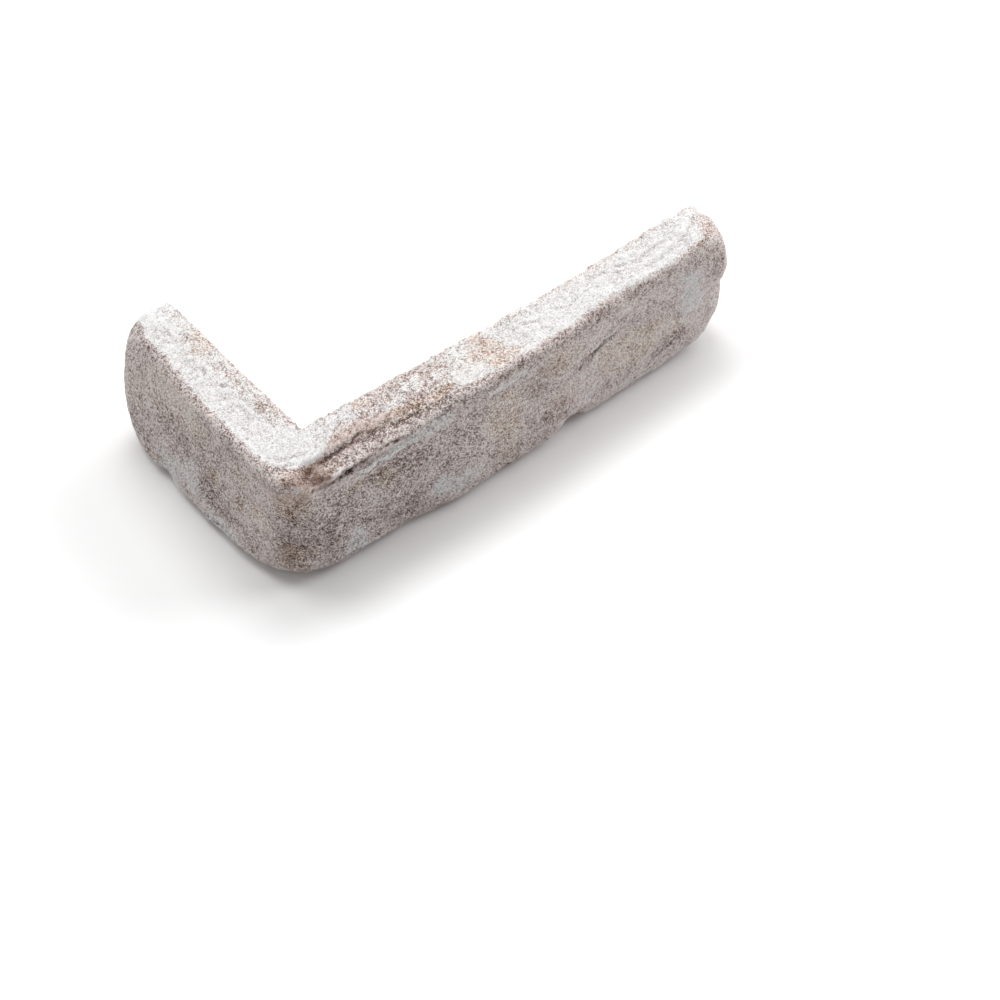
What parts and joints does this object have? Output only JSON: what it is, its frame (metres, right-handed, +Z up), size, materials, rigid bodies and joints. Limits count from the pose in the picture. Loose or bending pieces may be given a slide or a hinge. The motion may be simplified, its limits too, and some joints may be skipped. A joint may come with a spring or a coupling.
{
  "type": "corner brick slip",
  "caption": "L-shaped corner facing slip sawn from a worn, lime-washed hand-moulded brick, with a long stretcher leg, a short header leg and flat sawn backs.",
  "frame": {"origin": "middle of the base of the slip's box, on the lower bed's plane", "axes": "+X along the stretcher leg, away from the outer corner; +Y along the header leg, away from the outer corner, and the way the stretcher's sawn back faces; +Z up, from the lower bed to the upper bed"},
  "size_m": [0.213, 0.1122, 0.0528],
  "materials": {
    "brick": "matt sandy fired clay under a worn lime wash"
  },
  "bodies": {
    "root": {"corner_slip": "brick"}
  },
  "joints": []
}
